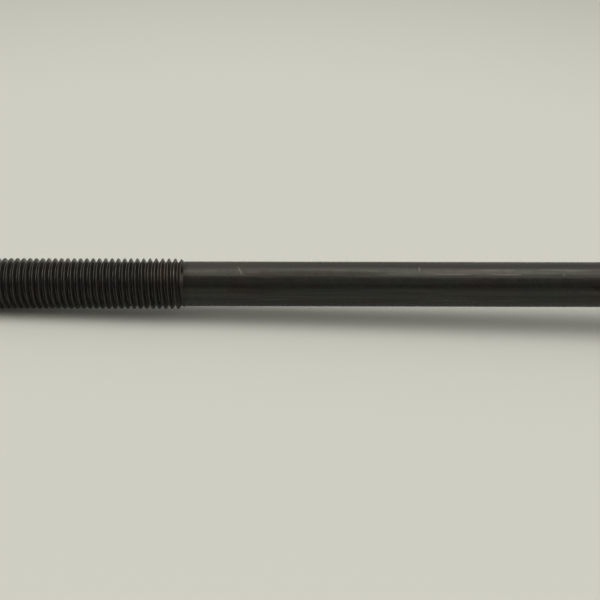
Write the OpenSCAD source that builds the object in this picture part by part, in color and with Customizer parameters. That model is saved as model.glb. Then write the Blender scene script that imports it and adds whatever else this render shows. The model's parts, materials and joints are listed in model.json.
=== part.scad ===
// Hex flange bolt with a fine right-hand thread and a reduced shank.
// It lies as it comes to rest, on the flange's rim and the first crest of the thread.
// Millimetres. The floor is z = 0, +X runs from the tip to the head, and the origin is on the
// floor under the middle of the bolt.

/* [Thread] */
// Nominal diameter, over the crests
thread_d = 12; // [11:0.5:14]
// Distance from one crest to the next
pitch = 1.5; // [1.25:0.25:2]
// Length of the threaded end, with its run-out
thread_l = 66; // [40:1:76]
// Diameter of the flat face at the tip, inside the chamfer
tip_d = 9.6; // [8:0.1:10]
// Facets in one turn of the thread
turn_facets = 24; // [18:6:30]

/* [Shank] */
// Diameter of the plain shank, thinner than the thread
shank_d = 10.6; // [9.5:0.1:11.8]
// Length from the flange's bearing face to the tip
bolt_l = 200; // [120:5:240]
// Radius of the fillet where the shank meets the bearing face
neck_r = 1.2; // [0.4:0.1:2]

/* [Head] */
// Width of the hexagon across its flats
across_flats = 18; // [15:1:20]
// Height of the head, from the bearing face
head_h = 12; // [10:0.5:15]
// Diameter of the flat top, inside the chamfer on the corners
top_d = 16.4; // [12:0.1:17]
// Slope of the chamfer on the corners
top_slope = 30; // [15:1:40]
// Diameter of the flange
flange_d = 26; // [24:0.5:32]
// Thickness of the flange at its rounded rim
rim_h = 1.8; // [1.2:0.1:2.6]
// Slope of the flange's upper face
flange_slope = 22; // [10:1:28]

/* [Hidden] */
$fn = 96;

// Metric thread form: flanks at 60 degrees, crests P/8 wide and roots P/6 wide.
thread_r = thread_d / 2;
root_w = pitch / 6;
crest_w = pitch / 8;
flank_w = (pitch - root_w - crest_w) / 2;
root_r = thread_r - flank_w / tan(30);

// The chamfer at the tip is at 45 degrees, so its height is the drop in radius.
tip_r = tip_d / 2;
tip_h = thread_r - tip_r;

// Over its last turn the thread fades to a ring just inside the shank.
shank_r = shank_d / 2;
fade_r = shank_r - 0.04;
fade_l = pitch;

// The helix begins below the tip, where it is cut away, and ends inside the shank. It is turned
// so that a crest starts at the chamfer's edge on the side that the bolt lies on.
lead_turns = 3 + (root_w + flank_w - tip_h) / pitch;
turns = ceil(thread_l / pitch + lead_turns) + 1;
buried_l = thread_l + pitch / 2;

rim_r = rim_h / 2;
rim_centre = flange_d / 2 - rim_r;
top_r = top_d / 2;
corner_r = across_flats / 2 / cos(30);

// The bolt tilts until the rim and the first full crest both touch the floor.
rise = rim_centre - thread_r;
reach = bolt_l + rim_r - tip_h;
tilt = atan(rise / reach) + asin(rim_r / norm([rise, reach]));
lift = thread_r * cos(tilt) - tip_h * sin(tilt);
middle = ((bolt_l + head_h) * cos(tilt) + (top_r - tip_r) * sin(tilt)) / 2;

// Share of the thread's depth that is left at height z.
function depth_left(z) = min(max((thread_l - z) / fade_l, 0), 1);

// A point on the thread, where r is the radius before the fade.
function thread_point(step, z, r) =
    let (a = 360 * step / turn_facets, faded = fade_r + (r - fade_r) * depth_left(z))
    [faded * cos(a), faded * sin(a), z];

// Height of the lower edge of the groove, one step further round for each step.
function groove_z(step) = pitch * (step / turn_facets - lead_turns);

// A solid rod with the helical groove and ridge on it. Each step has a line of points across
// one pitch, and the line's last point is the first point of the same place one turn later.
module helix_rod() {
    n = turn_facets;
    last = turns * n;
    root_far = root_w;
    crest_near = root_far + flank_w;
    crest_far = crest_near + crest_w;

    groove = [for (k = [0 : last + n]) thread_point(k, groove_z(k), root_r)];
    ridge = [for (k = [0 : last]) let (z = groove_z(k)) each [
        thread_point(k, z + root_far, root_r),
        thread_point(k, z + crest_near, thread_r),
        thread_point(k, z + crest_far, thread_r)
    ]];
    centres = [[0, 0, groove_z(0)], [0, 0, groove_z(last + n)]];

    ridge_0 = len(groove);
    centre_0 = ridge_0 + len(ridge);
    function line(k) = [k, for (i = [0 : 2]) ridge_0 + 3 * k + i, k + n];
    function strip(k, i) =
        let (near = line(k), far = line(k + 1))
        [[near[i], near[i + 1], far[i + 1]], [near[i], far[i + 1], far[i]]];
    function end_loop(k) = concat(line(k), [for (i = [n - 1 : -1 : 1]) k + i]);
    function fan(loop, centre) =
        [for (i = [0 : len(loop) - 1]) [loop[i], centre, loop[(i + 1) % len(loop)]]];
    function flip(faces) = [for (f = faces) [f[0], f[2], f[1]]];

    polyhedron(
        points = concat(groove, ridge, centres),
        faces = concat(
            [for (k = [0 : last - 1], i = [0 : 3]) each strip(k, i)],
            fan(end_loop(0), centre_0),
            flip(fan(end_loop(last), centre_0 + 1))
        )
    );
}

// The rod cut flat at the tip and chamfered, with its other end inside the shank.
module threaded_end() {
    outside_r = thread_r + 1;
    intersection() {
        helix_rod();
        rotate_extrude()
            polygon([
                [0, 0],
                [tip_r, 0],
                [outside_r, outside_r - tip_r],
                [outside_r, buried_l],
                [0, buried_l]
            ]);
    }
}

// Shank, fillet and flange as one turned profile, from the end of the thread upwards.
module shank_and_flange() {
    rim_middle = [rim_centre, bolt_l + rim_r];
    slope_start = rim_middle + rim_r * [sin(flange_slope), cos(flange_slope)];
    rotate_extrude() {
        difference() {
            polygon([
                [0, thread_l],
                [shank_r, thread_l],
                [shank_r, bolt_l - neck_r],
                [shank_r + neck_r, bolt_l],
                [rim_centre, bolt_l],
                slope_start,
                [0, slope_start.y + slope_start.x * tan(flange_slope)]
            ]);
            // Hollows the straight edge under the flange into the fillet.
            translate([shank_r + neck_r, bolt_l - neck_r]) circle(neck_r);
        }
        translate(rim_middle) circle(rim_r);
    }
}

// Hexagon with its corners chamfered by a cone.
module hexagon() {
    chamfer_h = (corner_r + 1 - top_r) * tan(top_slope);
    intersection() {
        translate([0, 0, bolt_l + rim_r])
            cylinder(r = corner_r, h = head_h - rim_r, $fn = 6);
        translate([0, 0, bolt_l])
            rotate_extrude()
                polygon([
                    [0, 0],
                    [corner_r + 1, 0],
                    [corner_r + 1, head_h - chamfer_h],
                    [top_r, head_h],
                    [0, head_h]
                ]);
    }
}

// The bolt upright on its tip, made from one piece of steel.
module bolt() {
    color([0.16, 0.16, 0.15])
        union() {
            threaded_end();
            shank_and_flange();
            hexagon();
        }
}

// Lays an upright bolt down, head towards +X, in the pose that it comes to rest in.
module lie_down() {
    translate([-middle, 0, lift])
        rotate([0, 90 - tilt, 0])
            children();
}

lie_down() bolt();
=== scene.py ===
"""A long hex flange bolt in blackened steel, lying on a pale floor.

The bolt is modelled upright in millimetres, tip down and centred on the Z axis, and is then
laid down in metres where the CAD bolt lies.
"""
import json
from math import atan, ceil, cos, pi, radians, sin, tan

import bmesh
import bpy
from mathutils import Matrix, Vector


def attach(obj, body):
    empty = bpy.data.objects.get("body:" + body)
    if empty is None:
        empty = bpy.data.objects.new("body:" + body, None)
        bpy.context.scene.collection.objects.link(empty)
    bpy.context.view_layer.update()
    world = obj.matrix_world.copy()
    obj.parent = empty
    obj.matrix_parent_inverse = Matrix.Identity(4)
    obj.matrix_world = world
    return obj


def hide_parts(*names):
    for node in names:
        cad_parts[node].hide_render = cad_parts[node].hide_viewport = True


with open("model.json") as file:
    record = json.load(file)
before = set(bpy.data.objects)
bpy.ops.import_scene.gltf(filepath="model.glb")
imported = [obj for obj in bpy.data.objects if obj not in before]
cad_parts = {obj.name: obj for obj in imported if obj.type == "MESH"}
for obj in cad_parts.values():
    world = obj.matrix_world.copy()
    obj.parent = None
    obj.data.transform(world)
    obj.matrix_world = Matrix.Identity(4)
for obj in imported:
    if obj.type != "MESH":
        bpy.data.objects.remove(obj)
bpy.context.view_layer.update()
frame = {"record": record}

# ---- Sizes, in millimetres ------------------------------------------------------------------

MM = 0.001
mounts = {mount["name"]: mount for mount in frame["record"]["mounts"]}
to_head = Vector(mounts["wrench_hexagon"]["axis"]).normalized()
top_centre = Vector(mounts["wrench_hexagon"]["pos_m"]) / MM
thread_r = mounts["thread"]["dims"]["r_mm"]
thread_l = mounts["thread"]["dims"]["length_mm"]
tip_centre = Vector(mounts["thread"]["pos_m"]) / MM - to_head * thread_l / 2
bolt_l = (Vector(mounts["bearing_face"]["pos_m"]) / MM - tip_centre).dot(to_head)
head_h = (top_centre - tip_centre).length - bolt_l

pitch = 1.5
thread_depth = 0.61343 * pitch
root_round = 0.1443 * pitch
crest_round = 0.1
tip_r = 4.8
tip_edge = 0.2          # easing of the tip's edge
shank_r = 5.3
neck_r = 1.2            # fillet under the flange
flange_r = 13.0
rim_r = 0.9
flange_slope = 22       # degrees
flat_r = 9.0            # from the axis to a flat of the hexagon
corner_r = flat_r / cos(radians(30))
hexagon_edge = 0.25     # easing of the hexagon's edges
foot_blend = 0.6        # rounding where the hexagon stands on the flange
top_r = 8.2             # flat top, inside the chamfer
top_slope = 30          # degrees

STEPS = 72              # facets round the bolt
MERGE = 0.004           # well under the shortest edge of the thread


# ---- Working by hand ------------------------------------------------------------------------

def select_only(piece):
    bpy.ops.object.select_all(action="DESELECT")
    piece.select_set(True)
    bpy.context.view_layer.objects.active = piece


def start_editing(piece):
    """Opens one piece in edit mode with nothing selected."""
    select_only(piece)
    bpy.ops.object.mode_set(mode="EDIT")
    bpy.ops.mesh.select_mode(type="VERT")
    bpy.ops.mesh.select_all(action="DESELECT")


def stop_editing():
    bpy.ops.object.mode_set(mode="OBJECT")


def select_points(piece, wanted):
    """Selects the points of the open piece whose place passes the test."""
    mesh = bmesh.from_edit_mesh(piece.data)
    for point in mesh.verts:
        point.select_set(bool(wanted(point.co)))
    mesh.select_flush_mode()
    bmesh.update_edit_mesh(piece.data)


def select_edges(piece, wanted):
    """Selects the edges of the open piece that pass the test."""
    bpy.ops.mesh.select_mode(type="EDGE")
    mesh = bmesh.from_edit_mesh(piece.data)
    for edge in mesh.edges:
        edge.select_set(bool(wanted(edge)))
    bmesh.update_edit_mesh(piece.data)


def apply_modifier(piece, kind, **settings):
    """Adds a modifier with these settings and applies it."""
    select_only(piece)
    modifier = piece.modifiers.new(kind.title(), kind)
    for name, value in settings.items():
        setattr(modifier, name, value)
    bpy.ops.object.modifier_apply(modifier=modifier.name)


def combine(piece, tool, operation):
    """Joins a piece with another solid, or trims it to that solid, which is used up."""
    apply_modifier(piece, "BOOLEAN", operation=operation, object=tool, solver="MANIFOLD")
    bpy.data.objects.remove(tool)


def arc(centre, radius, start, end, steps):
    """Points of an arc in the XZ plane as (x, z), with the angles in degrees."""
    turns = [radians(start + (end - start) * i / steps) for i in range(steps + 1)]
    return [(centre[0] + radius * cos(a), centre[1] + radius * sin(a)) for a in turns]


def draw_line(name, points):
    """A line through points of the XZ plane, drawn by extruding one point."""
    bpy.ops.mesh.primitive_plane_add(size=1)
    line = bpy.context.active_object
    line.name = name
    start_editing(line)
    bpy.ops.mesh.select_all(action="SELECT")
    bpy.ops.mesh.merge(type="CENTER")
    places = [Vector((x, 0, z)) for x, z in points]
    bpy.ops.transform.translate(value=places[0])
    for here, there in zip(places, places[1:]):
        bpy.ops.mesh.extrude_vertices_move(TRANSFORM_OT_translate={"value": there - here})
    stop_editing()
    return line


def extrude_ring(start, end):
    """Extrudes the selected ring from one (radius, height) to the next."""
    bpy.ops.mesh.extrude_region_move(
        TRANSFORM_OT_translate={"value": (0, 0, end[1] - start[1])}
    )
    scale = end[0] / start[0]
    bpy.ops.transform.resize(value=(scale, scale, 1), center_override=(0, 0, end[1]))


# ---- The bolt -------------------------------------------------------------------------------

def thread_outline():
    """One pitch of thread about its crest: round roots, 60 degree flanks and eased crests."""
    crest_half = pitch / 16 - crest_round * tan(radians(30))
    root_x = thread_r - thread_depth + root_round
    crest_x = thread_r - crest_round
    return (
        arc((root_x, -pitch / 2), root_round, 180, 120, 3)
        + arc((crest_x, -crest_half), crest_round, -60, 0, 3)
        + arc((crest_x, crest_half), crest_round, 0, 60, 3)
        + arc((root_x, pitch / 2), root_round, 240, 180, 3)
    )


def wind_thread():
    """The thread as an open tube, with a whole ring at each end."""
    # A crest starts at the chamfer's edge, on the side that the bolt lies on.
    first_crest = thread_r - tip_r + pitch / 16
    start = first_crest - 2 * pitch
    turns = ceil((thread_l - start) / pitch + 1)
    bolt = draw_line("hex_flange_bolt", [(x, z + start) for x, z in thread_outline()])
    apply_modifier(
        bolt, "SCREW", axis="Z", angle=2 * pi, screw_offset=pitch, iterations=turns,
        steps=STEPS, render_steps=STEPS, use_smooth_shade=True, use_normal_calculate=True,
    )
    # The thread fades into the shank over its last turn, and narrows below the tip.
    fade(bolt, shank_r, lambda z: (z - thread_l) / pitch + 1)
    below = -0.5 * pitch
    fade(bolt, tip_r, lambda z: 1.0 if z < below else 0.0)
    start_editing(bolt)
    for height, side in ((thread_l, 1), (below, -1)):
        select_points(bolt, lambda place: (place.z - height) * side >= 0)
        bpy.ops.transform.resize(value=(1, 1, 0), center_override=(0, 0, height))
    bpy.ops.mesh.select_all(action="SELECT")
    bpy.ops.mesh.remove_doubles(threshold=MERGE)
    select_points(bolt, lambda place: place.z < below + MERGE)
    bpy.ops.mesh.edge_face_add()
    stop_editing()
    return bolt


def fade(piece, radius, share):
    """Draws the points towards a cylinder, by the share that their height gives."""
    group = piece.vertex_groups.new(name="fade")
    for point in piece.data.vertices:
        weight = min(max(share(point.co.z), 0.0), 1.0)
        if weight > 0:
            group.add([point.index], weight, "REPLACE")
    apply_modifier(
        piece, "CAST", cast_type="CYLINDER", use_x=True, use_y=True, use_z=False,
        factor=1, radius=0, size=radius, use_radius_as_size=False, vertex_group="fade",
    )
    piece.vertex_groups.clear()


def turn_shank_and_flange(bolt):
    """Extrudes the thread's last ring into the shank, the fillet and the flange."""
    rim_x = flange_r - rim_r
    outline = [(shank_r, thread_l)]
    outline += arc((shank_r + neck_r, bolt_l - neck_r), neck_r, 180, 90, 8)
    outline += arc((rim_x, bolt_l + rim_r), rim_r, -90, 90 - flange_slope, 12)
    # The slope runs on into the hexagon, which hides its end.
    hidden_r = 0.8 * flat_r
    slope_x, slope_z = outline[-1]
    outline.append((hidden_r, slope_z + (slope_x - hidden_r) * tan(radians(flange_slope))))
    start_editing(bolt)
    select_points(bolt, lambda place: place.z > thread_l - MERGE)
    for here, there in zip(outline, outline[1:]):
        extrude_ring(here, there)
    bpy.ops.mesh.edge_face_add()
    bpy.ops.mesh.select_all(action="SELECT")
    bpy.ops.mesh.normals_make_consistent(inside=False)
    stop_editing()


def chamfer_tip(bolt):
    """Trims the thread to a flat tip with a 45 degree chamfer, and eases the tip's edge."""
    # The cone is turned by half a facet, so that its edges keep off the thread's.
    reach = bolt_l + 2 * head_h
    bpy.ops.mesh.primitive_cone_add(
        vertices=2 * STEPS, radius1=tip_r, radius2=tip_r + reach, depth=reach,
        location=(0, 0, reach / 2), rotation=(0, 0, pi / (2 * STEPS)),
    )
    combine(bolt, bpy.context.active_object, "INTERSECT")
    start_editing(bolt)
    select_edges(bolt, lambda edge: all(
        abs(end.co.z) < MERGE and end.co.xy.length > tip_r - tip_edge / 2 for end in edge.verts
    ))
    bpy.ops.mesh.bevel(offset=tip_edge, segments=3, affect="EDGES")
    stop_editing()


def mill_hexagon():
    """A turned and chamfered blank with six flats cut on it."""
    # The blank is wider than the corners, so that the flats meet in edges.
    blank_r = corner_r + 0.2
    chamfer_h = (blank_r - top_r) * tan(radians(top_slope))
    foot = bolt_l + rim_r
    side_h = head_h - rim_r - chamfer_h
    bpy.ops.mesh.primitive_cylinder_add(
        vertices=2 * STEPS, radius=blank_r, depth=side_h, location=(0, 0, foot + side_h / 2)
    )
    hexagon = bpy.context.active_object
    bpy.ops.object.transform_apply(location=True, rotation=True, scale=True)
    start_editing(hexagon)
    select_points(hexagon, lambda place: place.z > foot + side_h - MERGE)
    extrude_ring((blank_r, foot + side_h), (top_r, foot + side_h + chamfer_h))
    for side in range(6):
        turn = radians(30 + 60 * side)
        out = Vector((cos(turn), sin(turn), 0))
        bpy.ops.mesh.select_all(action="SELECT")
        bpy.ops.mesh.bisect(
            plane_co=out * flat_r, plane_no=out, use_fill=True, clear_outer=True
        )
    bpy.ops.mesh.select_all(action="SELECT")
    bpy.ops.mesh.remove_doubles(threshold=MERGE)
    select_edges(hexagon, lambda edge: (
        edge.calc_face_angle(0) > radians(20)
        and max(end.co.z for end in edge.verts) > foot + MERGE
    ))
    bpy.ops.mesh.bevel(offset=hexagon_edge, segments=3, affect="EDGES")
    stop_editing()
    return hexagon


def blend_head_to_flange(bolt):
    """Rounds the corner where the hexagon stands on the flange."""
    low, high = bolt_l + 2 * rim_r, bolt_l + head_h / 2

    def in_the_corner(edge):
        return (
            edge.calc_face_angle(0) > radians(30)
            and not edge.is_convex
            and all(low < end.co.z < high for end in edge.verts)
        )

    start_editing(bolt)
    select_edges(bolt, in_the_corner)
    bpy.ops.mesh.bevel(offset=foot_blend, segments=4, affect="EDGES")
    stop_editing()


def lay_down(bolt):
    """Turns the finished bolt from upright millimetres into its place on the floor."""
    bolt.matrix_world = place_on_floor()
    select_only(bolt)
    bpy.ops.object.transform_apply(location=True, rotation=True, scale=True)


def place_on_floor():
    """From upright millimetres to metres on the floor."""
    far_side = Vector((0, 1, 0))
    down = far_side.cross(to_head)
    turn = Matrix((down, far_side, to_head)).transposed().to_4x4()
    return Matrix.Scale(MM, 4) @ Matrix.Translation(tip_centre) @ turn


def make_bolt():
    """The whole bolt as one closed piece, made from the tip to the head."""
    bolt = wind_thread()
    turn_shank_and_flange(bolt)
    chamfer_tip(bolt)
    combine(bolt, mill_hexagon(), "UNION")
    blend_head_to_flange(bolt)
    start_editing(bolt)
    bpy.ops.mesh.select_all(action="SELECT")
    bpy.ops.mesh.normals_make_consistent(inside=False)
    stop_editing()
    bpy.ops.object.shade_smooth_by_angle(angle=radians(32))
    apply_modifier(bolt, "WEIGHTED_NORMAL", keep_sharp=True)
    lay_down(bolt)
    return bolt


bolt = make_bolt()
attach(bolt, "root")
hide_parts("bolt")


# ---- Finish ---------------------------------------------------------------------------------

def put(tree, kind, inputs=None, **settings):
    """Adds a node, with its inputs set to values or linked to other nodes' outputs."""
    node = tree.nodes.new(kind)
    for name, value in settings.items():
        setattr(node, name, value)
    for name, source in (inputs or {}).items():
        if isinstance(source, bpy.types.NodeSocket):
            tree.links.new(source, node.inputs[name])
        else:
            node.inputs[name].default_value = source
    return node


def maths(tree, operation, *terms, clamp=False):
    """Works out a number from other numbers."""
    inputs = dict(enumerate(terms))
    return put(tree, "ShaderNodeMath", inputs, operation=operation, use_clamp=clamp).outputs[0]


def vector_maths(tree, operation, *terms, output="Vector"):
    """Works out a vector, or with output "Value" a number, from vectors."""
    inputs = dict(enumerate(terms))
    return put(tree, "ShaderNodeVectorMath", inputs, operation=operation).outputs[output]


def stretch(tree, vector, factor):
    """Makes a vector or a colour this many times as large."""
    inputs = {"Vector": vector, "Scale": factor}
    return put(tree, "ShaderNodeVectorMath", inputs, operation="SCALE").outputs["Vector"]


def spread(tree, value, low, high, to_low=0.0, to_high=1.0):
    """Maps low to high onto another range, with soft ends."""
    inputs = {
        "Value": value, "From Min": low, "From Max": high, "To Min": to_low, "To Max": to_high,
    }
    node = put(tree, "ShaderNodeMapRange", inputs, interpolation_type="SMOOTHSTEP")
    return node.outputs["Result"]


def blend(tree, share, first, second):
    """Mixes two colours."""
    inputs = {0: share, 6: first, 7: second}
    return put(tree, "ShaderNodeMix", inputs, data_type="RGBA").outputs[2]


def new_effect(name, output, numbers, places=()):
    """A node group that makes one number from a place, these numbers and these other places."""
    tree = bpy.data.node_groups.new(name, "ShaderNodeTree")
    for label in ("Place", *places):
        tree.interface.new_socket(label, in_out="INPUT", socket_type="NodeSocketVector")
    for label in numbers:
        tree.interface.new_socket(label, in_out="INPUT", socket_type="NodeSocketFloat")
    tree.interface.new_socket(output, in_out="OUTPUT", socket_type="NodeSocketFloat")
    return tree, put(tree, "NodeGroupInput").outputs


def from_axis(tree, place):
    """The distance of a place from the bolt's axis."""
    flat = vector_maths(tree, "MULTIPLY", place, (1, 1, 0))
    return vector_maths(tree, "LENGTH", flat, output="Value")


def streaks_effect():
    """Marks stretched along or round the bolt, by how many there are in a millimetre."""
    tree, given = new_effect("tool_streaks", "Streaks", ("Around", "Along", "Seed"))
    counts = put(tree, "ShaderNodeCombineXYZ", {
        "X": given["Around"], "Y": given["Around"], "Z": given["Along"],
    }).outputs[0]
    stretched = vector_maths(tree, "MULTIPLY", given["Place"], counts)
    noise = put(tree, "ShaderNodeTexNoise", {
        "Vector": stretched, "W": given["Seed"], "Scale": 1.0, "Detail": 3.0, "Roughness": 0.75,
    }, noise_dimensions="4D").outputs[0]
    put(tree, "NodeGroupOutput", {"Streaks": spread(tree, noise, 0.37, 0.63)})
    return tree


def rings_effect():
    """Fine rings about the bolt's axis, as left by a turning tool."""
    tree, given = new_effect("turning_rings", "Rings", ("Count",))
    noise = put(tree, "ShaderNodeTexNoise", {
        "W": maths(tree, "MULTIPLY", from_axis(tree, given["Place"]), given["Count"]),
        "Scale": 1.0, "Detail": 2.0, "Roughness": 0.7,
    }, noise_dimensions="1D").outputs[0]
    put(tree, "NodeGroupOutput", {"Rings": spread(tree, noise, 0.3, 0.7)})
    return tree


def patches_effect():
    """Soft uneven patches of a given size in millimetres."""
    tree, given = new_effect("oxide_patches", "Patches", ("Size", "Seed"))
    noise = put(tree, "ShaderNodeTexNoise", {
        "Vector": given["Place"], "W": given["Seed"],
        "Scale": maths(tree, "DIVIDE", 1.0, given["Size"]),
        "Detail": 4.0, "Roughness": 0.55, "Distortion": 0.4,
    }, noise_dimensions="4D").outputs[0]
    put(tree, "NodeGroupOutput", {"Patches": spread(tree, noise, 0.38, 0.64)})
    return tree


def rubbed_effect():
    """Wear that grows between two distances from the axis, above a height, and is uneven."""
    tree, given = new_effect("rubbed_ridges", "Rubbed", ("From", "To", "Above"))
    distance = from_axis(tree, given["Place"])
    height = put(tree, "ShaderNodeSeparateXYZ", {0: given["Place"]}).outputs[2]
    ridge = maths(
        tree, "MULTIPLY",
        spread(tree, distance, given["From"], given["To"]),
        spread(tree, maths(tree, "SUBTRACT", height, given["Above"]), 0.0, 0.2),
    )
    noise = put(tree, "ShaderNodeTexNoise", {
        "Vector": given["Place"], "Scale": 0.8, "Detail": 5.0, "Roughness": 0.7,
    }).outputs[0]
    broken = spread(tree, noise, 0.40, 0.64)
    put(tree, "NodeGroupOutput", {"Rubbed": maths(tree, "MULTIPLY", ridge, broken)})
    return tree


def nick_effect():
    """A scratch, a mark of dirt, rust, painted shade or painted highlight between two places,
    widest in its middle.
    """
    tree, given = new_effect("nick", "Nick", ("Width",), places=("Start", "End"))
    reach = vector_maths(tree, "SUBTRACT", given["End"], given["Start"])
    here = vector_maths(tree, "SUBTRACT", given["Place"], given["Start"])
    share = maths(
        tree, "DIVIDE",
        vector_maths(tree, "DOT_PRODUCT", here, reach, output="Value"),
        vector_maths(tree, "DOT_PRODUCT", reach, reach, output="Value"), clamp=True,
    )
    aside = vector_maths(tree, "SUBTRACT", here, stretch(tree, reach, share))
    distance = vector_maths(tree, "LENGTH", aside, output="Value")
    # It is a quarter as wide at its ends as in its middle.
    middle = maths(tree, "MULTIPLY", maths(tree, "SUBTRACT", 1.0, share), share)
    swell = maths(tree, "MULTIPLY_ADD", middle, 3.0, 0.25)
    width = maths(tree, "MULTIPLY", given["Width"], swell)
    inside = spread(tree, maths(tree, "DIVIDE", distance, width), 1.0, 0.3)
    put(tree, "NodeGroupOutput", {"Nick": inside})
    return tree


# Which of the endless random patterns are used.
STREAKS_SEED = 5.81
PATCHES_SEED = 174.3

STREAKS = streaks_effect()
RINGS = rings_effect()
PATCHES = patches_effect()
RUBBED = rubbed_effect()
NICK = nick_effect()


def on_bolt(height, around, radius=shank_r):
    """A place on the shank, or so far from the axis on another part of the bolt.

    It is given in millimetres above the tip and degrees up from the front.
    """
    return (-radius * sin(radians(around)), -radius * cos(radians(around)), height)


# Handling marks on the shank: two places, a width in millimetres and a strength.
SHANK_MARKS = [
    (on_bolt(78.4, 79), on_bolt(79.6, 53), 0.28, 0.4),
    (on_bolt(120.7, 82), on_bolt(120.7, 64), 0.25, 0.3),
    (on_bolt(153.8, 55), on_bolt(154.1, 52), 0.25, 0.3),
    (on_bolt(123.7, 55), on_bolt(132.7, 54.5), 0.22, 0.18),
    (on_bolt(133.1, 67), on_bolt(142.8, 67), 0.34, 0.11),
    (on_bolt(137.3, 54.5), on_bolt(144.3, 54), 0.26, 0.16),
    (on_bolt(147.6, 69), on_bolt(156.6, 68.5), 0.22, 0.14),
    (on_bolt(151.5, 66), on_bolt(161.0, 66), 0.34, 0.10),
    (on_bolt(121.0, -17), on_bolt(132.5, -17), 0.16, 0.2),
    (on_bolt(136.5, -17), on_bolt(145.5, -17), 0.16, 0.2),
    (on_bolt(83.0, -14), on_bolt(91.0, -14), 0.16, 0.16),
    (on_bolt(101.0, 118), on_bolt(103.5, 140), 0.08, 0.4),
    (on_bolt(147.0, 205), on_bolt(148.0, 190), 0.10, 0.4),
    (on_bolt(92.0, 255), on_bolt(99.0, 258), 0.07, 0.4),
]

# Dark brown marks on the shank, given in the same way: dirt, with painted shade among them.
SHANK_STAINS_AND_SHADE = [
    # A brown ring where the thread ends, which also paints the shade of a run-out longer than the
    # modelled one.
    (on_bolt(65.9, 125), on_bolt(65.9, 60), 2.1, 0.55),
    (on_bolt(65.9, 80), on_bolt(65.9, 15), 2.1, 0.55),
    (on_bolt(65.9, 35), on_bolt(65.9, -30), 2.1, 0.5),
    # A darker strip along the bright band, which dims the highlight there.
    (on_bolt(80.5, 54), on_bolt(113.0, 57), 1.1, 0.6),
    (on_bolt(76.0, 14), on_bolt(88.0, 10), 1.4, 0.4),
    (on_bolt(120.2, 86), on_bolt(120.2, 60), 0.25, 0.6),
    (on_bolt(158.8, 96), on_bolt(158.9, 30), 0.30, 0.6),
    # Painted shade on the lower shank next to the head.
    (on_bolt(161.0, 20), on_bolt(176.0, 12), 2.2, 0.6),
]

# A knock on the crests near the run-out, and a lighter brown film over the last threads: rust,
# which on the front also paints the highlight of the shank fading into the thread.
THREAD_MARKS = [
    (on_bolt(63.5, 62, thread_r), on_bolt(64.0, 45, thread_r), 0.5, 0.4),
]
THREAD_RUST_AND_SHEEN = [
    (on_bolt(60.5, 115), on_bolt(62.0, 25), 7.0, 0.65),
    (on_bolt(61.0, 200), on_bolt(63.0, 280), 4.0, 0.5),
]

# Olive, brown and pale oxide. It lies thinner over the rolled thread.
OXIDES = [(0.0275, 0.0312, 0.0268, 1), (0.0340, 0.0288, 0.0270, 1), (0.056, 0.055, 0.048, 1)]
THIN_OXIDES = [(0.0325, 0.0360, 0.0310, 1), (0.0395, 0.0340, 0.0315, 1), (0.067, 0.065, 0.057, 1)]
# Dark brown for dirt, and for painted shade on the shank.
STAIN_AND_SHADE = (0.021, 0.0175, 0.0150, 1)
# Light rusty brown, which also serves as a painted highlight.
RUST_AND_SHEEN = (0.080, 0.064, 0.055, 1)
STEEL = (0.20, 0.195, 0.18, 1)
OXIDE_METAL = 0.8       # how metallic the oxide is,
STEEL_METAL = 0.95      # and the steel

# Rubbed edges: the wear grows from one distance from the axis to another, above a height.
RUBBED_EDGES = [
    (flange_r - 0.3, flange_r, 0),
    (corner_r - 0.55, corner_r - 0.2, bolt_l + 3.6),
]

# The share of its normal that a turned face has along the bolt's axis is above this.
TURNED_LEAN = 0.8


def upright_place(tree):
    """Object coordinates, turned back into the upright bolt's millimetres."""
    turn_back = place_on_floor().to_3x3().normalized().inverted()
    return put(tree, "ShaderNodeMapping", {
        "Vector": put(tree, "ShaderNodeTexCoord").outputs["Object"],
        "Location": turn_back @ -tip_centre,
        "Rotation": turn_back.to_euler(),
        "Scale": (1 / MM, 1 / MM, 1 / MM),
    }).outputs[0]


def use(tree, effect, place, **values):
    """Adds an effect to a material with its own values, and returns what it makes."""
    node = put(tree, "ShaderNodeGroup", node_tree=effect)
    tree.links.new(place, node.inputs["Place"])
    for label, value in values.items():
        node.inputs[label].default_value = value
    return node.outputs[0]


def strongest(tree, masks):
    """The largest of some masks, or nothing where there are none."""
    most = 0.0
    for mask in masks:
        most = maths(tree, "MAXIMUM", most, mask)
    return most


def all_nicks(tree, place, marks_and_painted_light):
    """One mask of all these marks: scratches, dirt and rust, painted shade and painted highlight.
    """
    return strongest(tree, (
        maths(tree, "MULTIPLY", use(tree, NICK, place, Start=start, End=end, Width=width), much)
        for start, end, width, much in marks_and_painted_light
    ))


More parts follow.
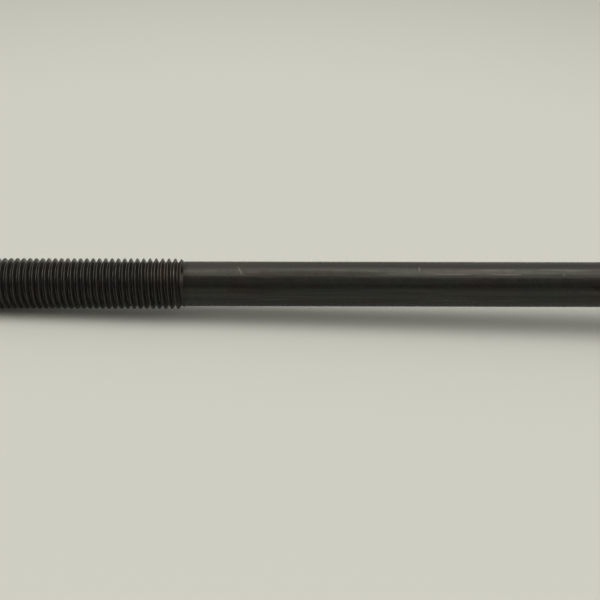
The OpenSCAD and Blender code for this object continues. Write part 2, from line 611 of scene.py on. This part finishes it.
def blackened_steel(
    name, around, along, depth, edges=(), marks=(), stain_and_light_marks=(),
    oxides=OXIDES, stain_and_light_colour=STAIN_AND_SHADE, rings=0, wear=0.5, pale=0.5, rough=0.28,
):
    """Black oxide over tool marks, with grey steel showing where it is rubbed or scratched.

    Around and along give the tool marks in a millimetre, and depth their height. Rings are
    turning rings in a millimetre. Wear, pale and rough go from none, 0, to full, 1.
    """
    material = bpy.data.materials.new(name)
    material.use_nodes = True
    tree = material.node_tree
    shader = tree.nodes["Principled BSDF"]
    place = upright_place(tree)

    streaks = use(tree, STREAKS, place, Around=around, Along=along, Seed=STREAKS_SEED)
    if rings:
        turned = use(tree, RINGS, place, Count=rings)
        streaks = maths(tree, "MULTIPLY_ADD", turned, 0.5, maths(tree, "MULTIPLY", streaks, 0.5))
    patches = use(tree, PATCHES, place, Size=9.0, Seed=PATCHES_SEED)
    cloudy = use(tree, PATCHES, place, Size=2.2, Seed=PATCHES_SEED)
    rubbed = strongest(tree, (
        use(tree, RUBBED, place, From=low, To=high, Above=above) for low, high, above in edges
    ))
    nicked = all_nicks(tree, place, marks)
    bare = maths(tree, "MAXIMUM", maths(tree, "MULTIPLY", rubbed, wear), nicked)

    oxide = blend(tree, patches, oxides[0], oxides[1])
    oxide = blend(tree, maths(tree, "MULTIPLY", streaks, pale), oxide, oxides[2])
    # Dirt and rust are laid over the oxide here, and with them painted shade and painted
    # highlight.
    oxide = blend(tree, all_nicks(tree, place, stain_and_light_marks), oxide, stain_and_light_colour)
    tree.links.new(blend(tree, bare, oxide, STEEL), shader.inputs["Base Color"])
    metallic = spread(tree, bare, 0.0, 1.0, OXIDE_METAL, STEEL_METAL)
    tree.links.new(metallic, shader.inputs["Metallic"])
    # Cloudy oxide is a little duller, and a streak a little glossier.
    uneven = maths(tree, "MULTIPLY_ADD", cloudy, 0.08, maths(tree, "MULTIPLY", streaks, -0.06))
    tree.links.new(maths(tree, "ADD", rough, uneven), shader.inputs["Roughness"])
    shader.inputs["Specular IOR Level"].default_value = 0.38

    height = maths(tree, "SUBTRACT", streaks, bare)
    bump = put(tree, "ShaderNodeBump", {"Height": height, "Strength": 1.0, "Distance": depth * MM})
    tree.links.new(bump.outputs[0], shader.inputs["Normal"])
    return material


def finish_name(height, lean):
    """Which finish a face has, by its height and how far it faces up or down the bolt."""
    threaded = tip_edge / 4 < height < thread_l
    if lean > TURNED_LEAN and not threaded:
        return "turned_faces"
    if height > bolt_l - neck_r:
        return "forged_head"
    if height > thread_l - pitch / 2:
        return "drawn_shank"
    return "rolled_thread"


def finish_bolt(bolt):
    """Gives each part of the bolt its own finish."""
    bolt.data.materials.clear()
    for finish in (
        blackened_steel(
            "rolled_thread", around=0.5, along=6.0, depth=0.003, marks=THREAD_MARKS,
            stain_and_light_marks=THREAD_RUST_AND_SHEEN, oxides=THIN_OXIDES, stain_and_light_colour=RUST_AND_SHEEN, pale=1.0, rough=0.34,
        ),
        blackened_steel(
            "drawn_shank", around=0.9, along=0.02, depth=0.008, marks=SHANK_MARKS,
            stain_and_light_marks=SHANK_STAINS_AND_SHADE,
        ),
        blackened_steel(
            "forged_head", around=2.5, along=2.5, depth=0.006, edges=RUBBED_EDGES, wear=0.9,
        ),
        blackened_steel(
            "turned_faces", around=2.5, along=2.5, depth=0.012, edges=RUBBED_EDGES,
            rings=4, wear=0.9, pale=1.0,
        ),
    ):
        bolt.data.materials.append(finish)
    upright = place_on_floor().inverted()
    turn_up = upright.to_3x3().normalized()
    for face in bolt.data.polygons:
        height = (upright @ face.center).z
        lean = abs((turn_up @ face.normal).z)
        face.material_index = bolt.data.materials.find(finish_name(height, lean))


finish_bolt(bolt)


# ---- Floor, lights and camera ---------------------------------------------------------------

# The floor, in metres. Its colour is painted darker between two distances from its palest place:
# painted shade, standing in for light that falls off away from the bolt.
FLOOR_R = 12
PAINTED_LIGHT_CENTRE = (-0.02, -0.01, 0)
PAINTED_FALLOFF_START, PAINTED_FALLOFF_END = 0.15, 0.45
FLOOR_IN_PAINTED_LIGHT = (0.634, 0.652, 0.610, 1)
FLOOR_IN_PAINTED_SHADE = (0.47, 0.485, 0.45, 1)

# Soft round lights: degrees round from the front, degrees up, and brightness.
LIGHT_COLOUR = (1.0, 0.96, 0.90)
LIGHT_SPREAD = 32       # degrees from a light's middle to its edge
DIM = 0.03              # brightness between the lights
HORIZON = (2, 17)       # degrees up over which the floor's colour gives way to the lights
SOFT_LIGHTS = [
    (90, 84, 2.35), (180, 66, 0.8), (180, 42, 0.5), (180, 20, 0.12), (0, 42, 0.25),
    (70, 42, 2.0), (-70, 42, 2.0), (150, 18, 0.4), (-150, 18, 0.4),
]

# The camera's view, in millimetres and degrees.
VIEW_WIDTH = 141.85     # at the bolt
VIEW_HALF_ANGLE = 15.6  # from its middle to its left or right side
VIEW_DOWN = 30          # how far the camera looks down
VIEW_PLACE = 92.93      # from the tip along the bolt to the view's middle
VIEW_DROP = 3.79        # from the bolt's axis down to the view's middle
VIEW_ROLL = 0.14        # how far the bolt is from lying level in the view


def make_floor():
    """A pale floor, its colour darkened away from the bolt with painted shade."""
    bpy.ops.mesh.primitive_circle_add(vertices=64, radius=FLOOR_R, fill_type="NGON")
    floor = bpy.context.active_object
    floor.name = "floor"
    material = bpy.data.materials.new("pale_floor_painted_falloff")
    material.use_nodes = True
    tree = material.node_tree
    shader = tree.nodes["Principled BSDF"]
    place = put(tree, "ShaderNodeTexCoord").outputs["Object"]
    distance = vector_maths(tree, "DISTANCE", place, PAINTED_LIGHT_CENTRE, output="Value")
    colour = blend(tree, spread(tree, distance, PAINTED_FALLOFF_START, PAINTED_FALLOFF_END), FLOOR_IN_PAINTED_LIGHT, FLOOR_IN_PAINTED_SHADE)
    tree.links.new(colour, shader.inputs["Base Color"])
    shader.inputs["Roughness"].default_value = 0.7
    shader.inputs["Specular IOR Level"].default_value = 0.2
    floor.data.materials.append(material)


def light_the_room():
    """Soft round lights above and beside the bolt, over a horizon as pale as the floor."""
    world = bpy.data.worlds.new("room")
    world.use_nodes = True
    bpy.context.scene.world = world
    tree = world.node_tree
    direction = put(tree, "ShaderNodeTexCoord").outputs["Generated"]
    level = DIM
    for turn, height, brightness in SOFT_LIGHTS:
        turn, height = radians(turn), radians(height)
        towards = (sin(turn) * cos(height), -cos(turn) * cos(height), sin(height))
        facing = vector_maths(tree, "DOT_PRODUCT", direction, towards, output="Value")
        glow = spread(tree, facing, cos(radians(LIGHT_SPREAD)), 1.0, 0.0, brightness)
        level = maths(tree, "ADD", level, glow)
    upward = put(tree, "ShaderNodeSeparateXYZ", {0: direction}).outputs[2]
    above = spread(tree, upward, *[sin(radians(height)) for height in HORIZON])
    # Below the horizon the room takes the floor's far colour, painted shade and all, in the
    # lights' colour.
    lit_floor = [floor * light for floor, light in zip(FLOOR_IN_PAINTED_SHADE, (*LIGHT_COLOUR, 1))]
    room_light = blend(tree, above, lit_floor, stretch(tree, LIGHT_COLOUR, level))
    tree.links.new(room_light, tree.nodes["Background"].inputs["Color"])


def place_camera():
    """Looks down at the shank from the front, turned a little so that the bolt lies level."""
    elevation = radians(VIEW_DOWN)
    half_angle = radians(VIEW_HALF_ANGLE)
    back = Vector((0, -cos(elevation), sin(elevation)))
    right = Vector((1, 0, 0))
    up = back.cross(right)
    bolt_slope = atan(to_head.dot(up) / to_head.dot(right))
    roll = bolt_slope + radians(VIEW_ROLL)
    right, up = right * cos(roll) + up * sin(roll), up * cos(roll) - right * sin(roll)
    target = (tip_centre + to_head * VIEW_PLACE - up * VIEW_DROP) * MM
    distance = VIEW_WIDTH * MM / 2 / tan(half_angle)
    camera = bpy.data.cameras.new("camera")
    camera.lens = camera.sensor_width / 2 / tan(half_angle)
    holder = bpy.data.objects.new("camera", camera)
    turn = Matrix((right, up, back)).transposed().to_4x4()
    holder.matrix_world = Matrix.Translation(target + back * distance) @ turn
    bpy.context.scene.collection.objects.link(holder)
    bpy.context.scene.camera = holder
    bpy.context.scene.view_settings.view_transform = "Standard"


make_floor()
light_the_room()
place_camera()
